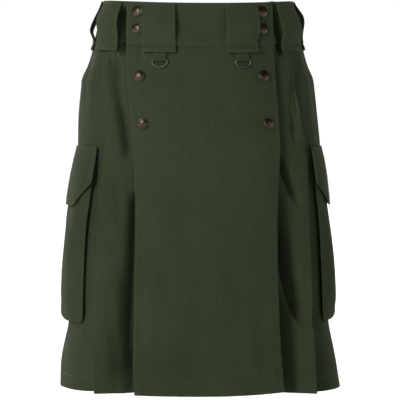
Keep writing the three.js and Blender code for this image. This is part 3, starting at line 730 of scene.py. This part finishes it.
def make_back():
    """A centre box pleat between three knife pleats on each side, pressed and left loose to the hem."""

    def whole(z):
        half = back_path(z)
        return half + [(0, 0, 0)] + [(-across, out, lift) for across, out, lift in reversed(half)]

    counts = steps_between(whole(-330), 4.4)
    reference, turns = rounded_path(whole(-330), counts)
    us = path_lengths(reference)
    rows = []
    for z in SKIRT_ROWS:
        path, _ = rounded_path(whole(z), counts)
        across, out, _ = path.T
        s = np.where(across < 0, -1, 1) * (ring_length(z) - np.abs(across))
        rows.append(place(s, out + SKIRT_OUT + relief(s, z) + seam_grooves(z), z))
    panel = cloth("back_cloth", rows, us, SKIRT_ROWS, DRILL_THICK, PANEL_DRILL, turns)
    seams = [row_of(panel, (2, HEM_ROW), (us[-1] - 2, HEM_ROW))]
    sewn(panel, "back_pleats", (700, 570), "hung", "waistband_main", seams)


HOLLOW_DEEP, HOLLOW_END = 23, -54


def hip_hollow(s, z):
    """The band and the cloth under it draw in between the apron's band and each hip loop."""
    right = np.asarray(s) > 0
    down = float(clamp01((30 - z) / 60))
    centre = np.where(right, mix(122, 136, down), 125)
    half = np.where(right, mix(3.5, 8, down), 9.5)
    above = np.where(right, smooth((34 - z) / 8), smooth((27 - z) / 16))
    below = float(smooth((z - HOLLOW_END) / 20))
    return -HOLLOW_DEEP * above * below * np.exp(-(((np.abs(s) - centre) / half) ** 4))


BAND_LINES = [BAND_TOP - 3, BAND_BOTTOM + 3.5]
BAND_ROWS = spacing(BAND_TOP, BAND_BOTTOM, 4, BAND_LINES)


def make_bands():
    """Lined waistband, edge-stitched top and bottom: the main one from under one side of the apron round
    the back to under the other, and the apron's own stretch, which snaps over its ends."""
    rows = []
    us = spacing(0, 2 * (ring_length(0) - level("apron", BAND_TOP) + BAND_UNDERLAP), 3.6)
    for z in BAND_ROWS:
        length = ring_length(z)
        start = level("apron", z) - BAND_UNDERLAP
        s = mix(start, 2 * length - start, us / us[-1])
        s = np.where(s > length, s - 2 * length, s)
        # The thread pulls its channel deeper about every 20 mm
        channel = groove(z, BAND_LINES) * (1 - 0.625 * np.sin(0.31 * s))
        rows.append(place(s, BAND_OUT + channel + hip_hollow(s, z), z))
    main = cloth("waistband_main_cloth", rows, us, BAND_ROWS, BAND_THICK, BAND_DRILL)
    seams = [row_of(main, (3, z), (us[-1] - 3, z)) for z in BAND_LINES]
    sewn(main, "waistband_main", (us[-1], 66), "stretched", "back_pleats", seams)

    half = 118
    edges = [-half + 5, half - 5]
    us = spacing(-half, half, 3.6, edges)
    rows = []
    for z in BAND_ROWS:
        s = us / half * level("apron", z)
        sunk = groove(z, BAND_LINES) + groove(us, edges) + dimples(s, z, BAND_SNAPS, 0.6, 11)
        # A pinched fold runs down from the lower snap on the left
        pinch = -1.3 * float(smooth((-8 - z) / 14)) * np.exp(-(((s + 95) / 3) ** 2))
        rows.append(place(s, APRON_OUT + sunk + pinch, z))
    front = cloth("waistband_apron_cloth", rows, us, BAND_ROWS, BAND_THICK, BAND_DRILL)
    seams = [row_of(front, (-half + 3, z), (half - 3, z)) for z in BAND_LINES]
    seams += [row_of(front, (x, BAND_TOP - 3), (x, BAND_BOTTOM + 3)) for x in edges]
    sewn(front, "waistband_apron", (236, 66), "stretched", "waistband_main", seams)


# Belt loops: middle at top and bottom, whether on the apron's band, how far the edges stand out, how far
# the loop stands off the band, and how far down it stands off most
LOOP_WIDE, LOOP_TOP, LOOP_END, LOOP_TACK, LOOP_TAB_FROM, TAB_LIFT = 51, 32.6, -45, -31.5, -37, 2.9
TOP_SEAM, TACK_SEAM, FRONT_LOOP_S = LOOP_TOP - 4, LOOP_TACK - 4, 64
LOOPS = [
    ("front_left", -1, FRONT_LOOP_S, FRONT_LOOP_S, True, 1.2, 7.5, 0.55),
    ("front_right", 1, FRONT_LOOP_S, FRONT_LOOP_S, True, 1.2, 7.5, 0.55),
    ("hip_left", -1, 153, 160, False, 1.5, 6.5, 0.45), ("hip_right", 1, 153, 160, False, 1.5, 6.5, 0.75),
    ("side_left", -1, 228, 232, False, 1.2, 8.6, 0.7), ("side_right", 1, 228, 232, False, 2, 7.5, 0.42),
    ("back", 0, 0, 0, False, 2, 7, 0.5),
]


def make_loop(name, side, top_s, low_s, on_front, flat, stand, peak):
    """A wide folded strap, edge-stitched in one row down each side, and tacked at its top and low on the
    band. It stands off the band between, and its end hangs free or covers a D-ring's tab."""
    face = (APRON_OUT if on_front else BAND_OUT) + (BAND_THICK + LOOP_THICK) / 2 + LAID_GAP
    half = LOOP_WIDE / 2
    lines = [-half + 4, half - 4]
    us = spacing(-half, half, 2.6, lines)
    vs = spacing(LOOP_TOP, LOOP_END, 2.8, [TOP_SEAM, TACK_SEAM])
    rows = []
    for z in vs:
        down = float(clamp01((LOOP_TOP - z) / (LOOP_TOP - LOOP_TACK)))
        share = smooth(down / peak) if down < peak else smooth((1 - down) / (1 - peak))
        lift = TAB_LIFT * float(clamp01((LOOP_TACK - z) / (LOOP_TACK - LOOP_TAB_FROM))) if on_front else 0
        sunk = groove(us, lines, 0.3) + groove(z, [TOP_SEAM], 0.3) + groove(z, [TACK_SEAM], 2.0)
        out = face + share * (stand + flat * (us / half) ** 2) + lift + sunk
        middle = side * mix(top_s, low_s, (BAND_TOP - z) / (BAND_TOP - BAND_BOTTOM))
        if side == 0:
            middle = ring_length(z) - level("twist", z)
        rows.append(place(middle + us, out, z))
    label = "loop_" + name
    strap = cloth(label + "_cloth", rows, us, vs, LOOP_THICK, BAND_DRILL)
    seams = [row_of(strap, (x, LOOP_TOP - 1), (x, LOOP_END + 1)) for x in lines]
    seams += [row_of(strap, (-half + 2, z), (half - 2, z)) for z in (TOP_SEAM, TACK_SEAM)]
    band = "waistband_apron" if on_front else "waistband_main"
    sewn(strap, label, (LOOP_WIDE, 80), "stretched", band, seams)


POCKET_HALF, POCKET_TOP, POCKET_END, GUSSET_TUCK, EDGE_STAND, ROLL_WIDE = 84, -218, -476, 1.5, 4.6, 34
PANEL_FACE = SKIRT_OUT + DRILL_THICK + LAID_GAP
# How the pocket's rounded floor closes on the panel: the share of its stand that is left, and how far its
# sides are drawn in
FLOOR_TOP = -459
POCKET_FLOOR = table(
    "z share inset",
    (FLOOR_TOP, 1, 0), (-464, 0.95, 0.6), (-468, 0.84, 2), (-472, 0.62, 4), (-474, 0.45, 6),
    (-475.4, 0.2, 8.5), (POCKET_END, 0.02, 10),
)
FLOOR_ROWS = [FLOOR_TOP, -462, -465, -468, -470.5, -472.7, -474.4, -475.5, POCKET_END]
# Slack in the pocket's face: how deep each soft hollow is, where it lies on the face and how it leans. Each
# reaches about 20 mm to either side.
SLUMPS = table(
    "deep across z lean",
    (1.7, -34, -330, 0.02), (1.5, 40, -400, 0.03), (1.3, 6, -432, -0.07), (1.0, 14, -300, 0.09),
)


def pocket_stand(z):
    return value_at(POCKET_LEVELS, "stand", z)


def pocket_path(z):
    """Corners of the pocket at one height, from side to side: gusset, edge, face, edge and gusset."""
    share, inset = value_at(POCKET_FLOOR, "share", z), value_at(POCKET_FLOOR, "inset", z)
    stand = pocket_stand(max(z, FLOOR_TOP)) * share
    rim = min(stand, EDGE_STAND * share)
    half, tuck = POCKET_HALF - inset, min(stand, 8) * share * GUSSET_TUCK
    edge = [(half - 0.8 * tuck, 0, 0), (half - tuck, rim * 0.45, 0), (half, rim, 0)]
    face = []
    for x in np.linspace(half, -half, 19)[1:-1]:
        roll = float(smooth((half - abs(x)) / ROLL_WIDE)) ** 0.7
        face.append((x, mix(rim, stand, roll), 0))
    return edge + face + [(-a, b, c) for a, b, c in reversed(edge)]


def make_pocket(side):
    """A bellows pocket, whose face stands off the panel on a gusset down both sides and under it. Bar tacks
    hold its two upper corners."""
    mouth_seam = POCKET_TOP - 20
    vs = np.concatenate([spacing(POCKET_TOP, FLOOR_TOP + 3, 4, [mouth_seam]), FLOOR_ROWS])
    middle = pocket_path(-390)
    counts = steps_between(middle, 3.4)
    reference, turns = rounded_path(middle, counts, 1.2)
    us = POCKET_HALF - path_lengths(reference)
    rows = []
    for z in vs:
        around, _ = rounded_path(pocket_path(z), counts, 1.2)
        x, out, _ = around.T
        s = side * (value_at(POCKET_LEVELS, "middle", z) + x)
        hollows = sum(
            deep * np.exp(-(((x - across) * 0.05 + (z - height) * lean) ** 2))
            for deep, across, height, lean in zip(*SLUMPS.values())
        )
        sunk = smooth((out - 3) / 6) * (groove(np.abs(x), [POCKET_HALF - 5], 0.3) - hollows)
        rows.append(place(s, PANEL_FACE + out + relief(s, z) + sunk, z))
    name = "pocket_" + side_name(side)
    bag = cloth(name + "_cloth", rows, side * us, vs, DRILL_THICK, PANEL_DRILL, turns)
    gusset = abs(us[0] - us[np.argmin(np.abs(reference[:, 0] - POCKET_HALF))])
    face_from, face_to = us[0] - gusset, us[-1] + gusset
    left, right = side * (face_from - 6), side * (face_to + 6)
    seams = [row_of(bag, (x, POCKET_TOP - 2), (x, FLOOR_TOP + 1)) for x in (left, right)]
    seams.append(row_of(bag, (left, mouth_seam), (right, mouth_seam)))
    corners = (side * (face_from - 3), side * (face_to + 3))
    tacks = [row_of(bag, (x, mouth_seam - 2), (x, mouth_seam - 14), step=1) for x in corners]
    sewn(bag, name, (206, 272), "hung", "side_panel_" + side_name(side), seams, tacks=tacks)


FLAP_HALF, FLAP_FLAT_HALF, FLAP_TOP, FLAP_SIDE, FLAP_LONG = 90, 56, -198, 56, 94
FLAP_CLEAR, FLAP_RISE, FLAP_SEAMS = 2.4, 24, (3, 9)


def make_flap(side):
    """A doubled flap with its lower corners cut off, stitched in two rows round its free edges."""
    shares = np.sort(np.concatenate([[0, 0.022, 0.044, 0.066, 0.915, 0.975], np.linspace(0.1, 1, 26)]))
    us = spacing(-FLAP_HALF, FLAP_HALF, 3.2, [x * (FLAP_HALF - gap) for gap in FLAP_SEAMS for x in (-1, 1)])
    vs = -shares * FLAP_LONG
    rows = []
    for share in shares:
        slant = clamp01((FLAP_HALF - np.abs(us)) / (FLAP_HALF - FLAP_FLAT_HALF))
        drop = mix(FLAP_SIDE, FLAP_LONG, slant)
        zs = FLAP_TOP - share * drop
        to_edge = np.minimum((1 - share) * drop, FLAP_HALF - np.abs(us))
        row = []
        for x, z, edge in zip(us, zs, to_edge):
            off = float(smooth((FLAP_TOP - z) / FLAP_RISE))
            s = side * (value_at(POCKET_LEVELS, "middle", z) + x)
            out = PANEL_FACE + SEAM_GAP + off * (pocket_stand(z) + FLAP_CLEAR)
            out += float(groove(edge, FLAP_SEAMS, 0.35) + relief(s, z))
            row.append(place(s, out, round(z, 3)))
        rows.append(row)
    name = "pocket_flap_" + side_name(side)
    flap = cloth(name + "_cloth", rows, side * us, vs, FLAP_THICK, PANEL_DRILL)
    seams = []
    for gap in FLAP_SEAMS:
        low = -FLAP_LONG + gap
        end = side * (FLAP_HALF - gap)
        seams.append(row_of(flap, (-end, -4), (-end, low), (end, low), (end, -4)))
    top = side * (FLAP_HALF - FLAP_SEAMS[0])
    seams.append(row_of(flap, (-top, -4), (top, -4)))
    sewn(flap, name, (180, 96), "hung", "side_panel_" + side_name(side), seams, area=0.9)


# Hard pieces and the tabs that hold the D-rings


def seat(s, out, z):
    """The place of something fastened to the cloth at (s, z), in metres: its own Z points out of the cloth
    and its own X lies along it."""
    here = Vector(place(s, 0, z))
    along = (Vector(place(s + 6, 0, z)) - Vector(place(s - 6, 0, z))).normalized()
    lean = Vector(place(s, 0, z + 8)) - Vector(place(s, 0, z - 8))
    outward = along.cross(lean).normalized()
    up = outward.cross(along)
    matrix = Matrix((along, up, outward)).transposed().to_4x4()
    matrix.translation = (here + outward * out) * MM
    return matrix


# The cap's outline: radius, height above the one before, and how much the spot is rubbed bright
CAP_STEPS = [
    (8.0, 0.7, 0.4), (8.5, 0.6, 1.0), (8.35, 0.5, 1.0), (7.9, 0.35, 0.8), (7.4, 0.0, 0.1),
    (6.9, 0.1, 0.0), (6.3, 0.4, 0.7), (5.4, 0.45, 0.6), (4.2, 0.35, 0.3), (2.8, 0.22, 0.1),
    (1.4, 0.1, 0.05), (0.3, 0.02, 0.05),
]
CAP_FOOT, CAP_GAP = 1.3, 0.45


def model_snap_cap():
    """A pressed snap cap modelled at the origin: a stepped foot in the cloth, a rolled rim, the groove
    inside it and a low dome."""
    bpy.ops.object.select_all(action="DESELECT")
    radius = 7.4
    foot = (0, 0, -CAP_FOOT * MM)
    bpy.ops.mesh.primitive_circle_add(vertices=48, radius=radius * MM, fill_type="NGON", location=foot)
    cap = bpy.context.object
    bpy.ops.object.mode_set(mode="EDIT")
    bpy.ops.mesh.select_all(action="SELECT")
    bpy.ops.mesh.duplicate()
    bpy.ops.mesh.select_all(action="SELECT")
    bpy.ops.mesh.remove_doubles(threshold=1e-6)
    bpy.ops.mesh.select_all(action="SELECT")
    for wide, rise, _ in [(7.5, CAP_FOOT - 0.1, 0)] + CAP_STEPS:
        bpy.ops.mesh.extrude_region_move(TRANSFORM_OT_translate={"value": (0, 0, rise * MM)})
        bpy.ops.transform.resize(value=(wide / radius, wide / radius, 1))
        radius = wide
    bpy.ops.mesh.select_all(action="SELECT")
    bpy.ops.mesh.normals_make_consistent(inside=False)
    bpy.ops.object.mode_set(mode="OBJECT")
    bpy.ops.object.transform_apply(location=True, rotation=True, scale=True)
    bpy.ops.object.shade_smooth_by_angle(angle=math.radians(60))
    reach = np.array([v.co.xy.length for v in cap.data.vertices]) / MM
    high = np.array([v.co.z for v in cap.data.vertices]) / MM
    radii, rubs = zip(*sorted((r, w) for r, _, w in CAP_STEPS))
    set_attribute(cap.data, "wear", np.where(high > 0, np.interp(reach, radii, rubs), 0))
    return cap


def make_snaps():
    pattern = model_snap_cap()
    for name, s, z in BAND_SNAPS + APRON_SNAPS:
        for side in (-1, 1):
            on_band = z > BAND_BOTTOM
            out = APRON_OUT + BAND_THICK / 2 if on_band else float(apron_out(side * s, z)) + DRILL_THICK / 2
            node = "snap_" + name + "_" + side_name(side)
            mesh = pattern.data.copy()
            mesh.transform(seat(side * s, out + CAP_GAP, z))
            mesh.materials.clear()
            mesh.materials.append(SNAP_BRONZE)
            cap = bpy.data.objects.new(node + "_cap", mesh)
            bpy.context.scene.collection.objects.link(cap)
            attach(cap, "kilt")
            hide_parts(node)
    bpy.data.objects.remove(pattern)


RING_WIRE, RING_OUTER_WIDE, RING_BEND, RING_BAR_Z = 2.4, 26, 2.2, -57
TAB_WIDE, TAB_TOP_Z, TAB_PLY, BAR_CLEARANCE = 19.5, -39.5, 1.15, 0.4
TAB_BULB = RING_WIRE / 2 + BAR_CLEARANCE + TAB_PLY


def bar_seat(side):
    """The place of a D-ring's bar, in the middle of the tab's fold."""
    s = side * FRONT_LOOP_S
    tab_base = float(apron_out(s, RING_BAR_Z)) + DRILL_THICK / 2 + SEAM_GAP
    return seat(s, tab_base + TAB_BULB, RING_BAR_Z)


def make_d_ring(side):
    """Drawn wire bent to a D: its middle line is spun in edit mode, then given the wire's thickness."""
    radius = (RING_OUTER_WIDE - RING_WIRE) / 2
    straight = radius - RING_BEND
    bpy.ops.object.select_all(action="DESELECT")
    bpy.ops.mesh.primitive_plane_add(size=2 * straight * MM)
    ring = bpy.context.object
    bpy.ops.object.mode_set(mode="EDIT")
    bpy.ops.mesh.select_all(action="SELECT")
    bpy.ops.mesh.merge(type="CENTER")
    bpy.ops.transform.translate(value=(-straight * MM, 0, 0))
    for _ in range(8):
        bpy.ops.mesh.extrude_region_move(TRANSFORM_OT_translate={"value": (straight / 4 * MM, 0, 0)})
    bends = [(straight, 8, 90), (0, 40, 180), (-straight, 8, 90)]
    for x, steps, turn in bends:
        centre = (x * MM, -RING_BEND * MM, 0)
        bpy.ops.mesh.spin(steps=steps, angle=math.radians(turn), center=centre, axis=(0, 0, 1))
    bpy.ops.mesh.select_all(action="SELECT")
    bpy.ops.mesh.remove_doubles(threshold=1e-5)
    bpy.ops.object.mode_set(mode="OBJECT")
    # The round part is pressed a little flatter than a half ring
    for v in ring.data.vertices:
        below = -v.co.y / MM - RING_BEND
        if below > 0:
            v.co.y = -(RING_BEND + below * straight / radius) * MM
    only(ring)
    bpy.ops.object.convert(target="CURVE")
    ring.data.bevel_depth = RING_WIRE / 2 * MM
    ring.data.bevel_resolution = 4
    bpy.ops.object.convert(target="MESH")
    bpy.ops.object.shade_smooth()
    ring.data.transform(bar_seat(side))
    ring.data.materials.clear()
    ring.data.materials.append(RING_BRONZE)
    set_attribute(ring.data, "wear", np.full(len(ring.data.vertices), 0.5))
    node = "d_ring_" + side_name(side)
    ring.name = node + "_wire"
    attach(ring, "ring_" + side_name(side))
    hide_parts(node)


def make_ring_tab(side):
    """A strip folded round the D-ring's bar, with both ends sewn in under the belt loop."""
    middle = TAB_BULB - TAB_PLY / 2
    high = TAB_TOP_Z - RING_BAR_Z
    # Above the bar, the front ply lies 0.2 mm off the back one
    front = -TAB_BULB + 1.5 * TAB_PLY + 0.2
    path = [(-middle, y) for y in np.linspace(high, 0, 9)]
    for angle in np.linspace(math.pi, 2 * math.pi + 0.5, 22)[1:]:
        path.append((middle * math.cos(angle), middle * math.sin(angle)))
    path += [(front + (middle - front) * 0.35, TAB_BULB + 1.2), (front, TAB_BULB + 3.4)]
    path += [(front, y) for y in np.linspace(TAB_BULB + 3.4, high, 6)[1:]]
    path = np.array(path)
    vs = np.concatenate([[0], np.cumsum(np.linalg.norm(np.diff(path, axis=0), axis=1))])
    us = spacing(-TAB_WIDE / 2, TAB_WIDE / 2, 2.4, [-TAB_WIDE / 2 + 2.5, TAB_WIDE / 2 - 2.5])
    matrix = bar_seat(side)
    rows = [[tuple(matrix @ (Vector((x, y, out)) * MM) / MM) for x in us] for out, y in path]
    name = "ring_tab_" + side_name(side)
    # The strip starts behind the bar, where its outer side faces the apron
    facing = tuple(matrix.to_3x3() @ Vector((0, 0, -1)))
    tab = cloth(name + "_cloth", rows, us, -vs, TAB_PLY, BAND_DRILL, outward=facing)
    seam_v = -(vs[-1] - high + TAB_BULB + 5.5)
    seams = [row_of(tab, (-TAB_WIDE / 2 + 1, seam_v), (TAB_WIDE / 2 - 1, seam_v))]
    loop = "loop_front_" + side_name(side)
    sewn(tab, name, (TAB_WIDE, vs[-1]), "folded", loop, seams, pitch=3.2, long=2.4)


make_apron()
make_back()
make_bands()
for loop in LOOPS:
    make_loop(*loop)
for side in (-1, 1):
    make_side_panel(side)
    make_pocket(side)
    make_flap(side)
    make_ring_tab(side)
    make_d_ring(side)
make_snaps()


# Stage, light and camera


def plain(name, hex_code, rough):
    material, tree = new_material(name)
    bsdf = add(tree, "ShaderNodeBsdfPrincipled", Base_Color=linear(hex_code), Roughness=rough, IOR=1.45)
    add(tree, "ShaderNodeOutputMaterial", {"Surface": bsdf.outputs["BSDF"]})
    return material


FLOOR_Z = -0.95
bpy.ops.object.select_all(action="DESELECT")
bpy.ops.mesh.primitive_plane_add(size=40, location=(0, 0, FLOOR_Z))
floor = bpy.context.object
floor.name = "floor"
floor.data.materials.append(plain("pale_floor", "#e2e2e0", 0.9))

world = bpy.data.worlds.new("studio")
bpy.context.scene.world = world
world.use_nodes = True
air = world.node_tree
air.nodes.clear()
# A dim dome over the stage and a bright white band round its horizon
direction = add(air, "ShaderNodeTexCoord").outputs["Generated"]
height = add(air, "ShaderNodeSeparateXYZ", {"Vector": direction}).outputs["Z"]
band = add(
    air, "ShaderNodeMapRange", {"Value": height}, interpolation_type="SMOOTHSTEP",
    From_Min=0.1, From_Max=0.13, To_Min=1.05, To_Max=0.08,
)
sky = add(air, "ShaderNodeBackground", {"Strength": band.outputs[0]}, Color=(1, 1, 1, 1))
add(air, "ShaderNodeOutputWorld", {"Surface": sky.outputs["Background"]})


def softbox(name, place_at, aim_at, size, power, spread=180):
    """A flat lamp of this width and height in metres and this power in watts."""
    lamp = bpy.data.lights.new(name, "AREA")
    lamp.spread = math.radians(spread)
    lamp.shape = "RECTANGLE"
    lamp.size, lamp.size_y = size
    lamp.energy = power
    obj = bpy.data.objects.new(name, lamp)
    obj.location = place_at
    obj.rotation_euler = (Vector(aim_at) - Vector(place_at)).to_track_quat("-Z", "Y").to_euler()
    bpy.context.scene.collection.objects.link(obj)


KILT_MIDDLE = (0, 0, -0.3)
softbox("key", (-2.4, -2.9, 1.3), KILT_MIDDLE, (0.9, 0.9), 103)
softbox("fill", (2.9, -2.2, 0.3), KILT_MIDDLE, (0.1, 0.9), 7)
softbox("back_left", (-2.1, 3.2, 1.3), KILT_MIDDLE, (1.2, 1.2), 85)
softbox("back_right", (2.5, 2.6, 0.6), KILT_MIDDLE, (1.2, 1.2), 26)
# Wide, narrow-beamed lamps high over the floor whiten it all round and hardly reach the kilt
softbox("floor_behind", (0, 14, 5), (0, 14, -1), (44, 23), 5600, 50)
softbox("floor_left", (-13, 0, 5), (-13, 0, -1), (21, 5), 800, 50)
softbox("floor_right", (13, 0, 5), (13, 0, -1), (21, 5), 800, 50)
softbox("floor_before", (0, -15, 5), (0, -15, -1), (44, 20), 4000, 50)

# A long lens from 3.5 m in front, a little to the left and level with the hips
lens = bpy.data.cameras.new("camera")
lens.sensor_width = 36
lens.lens = 195.65
lens.clip_end = 100
camera = bpy.data.objects.new("camera", lens)
camera.location = (-0.2441, -3.4915, -0.166)
camera.rotation_euler = (Vector((0.0032, 0, -0.2856)) - camera.location).to_track_quat("-Z", "Y").to_euler()
bpy.context.scene.collection.objects.link(camera)
bpy.context.scene.camera = camera
bpy.context.scene.view_settings.view_transform = "Standard"
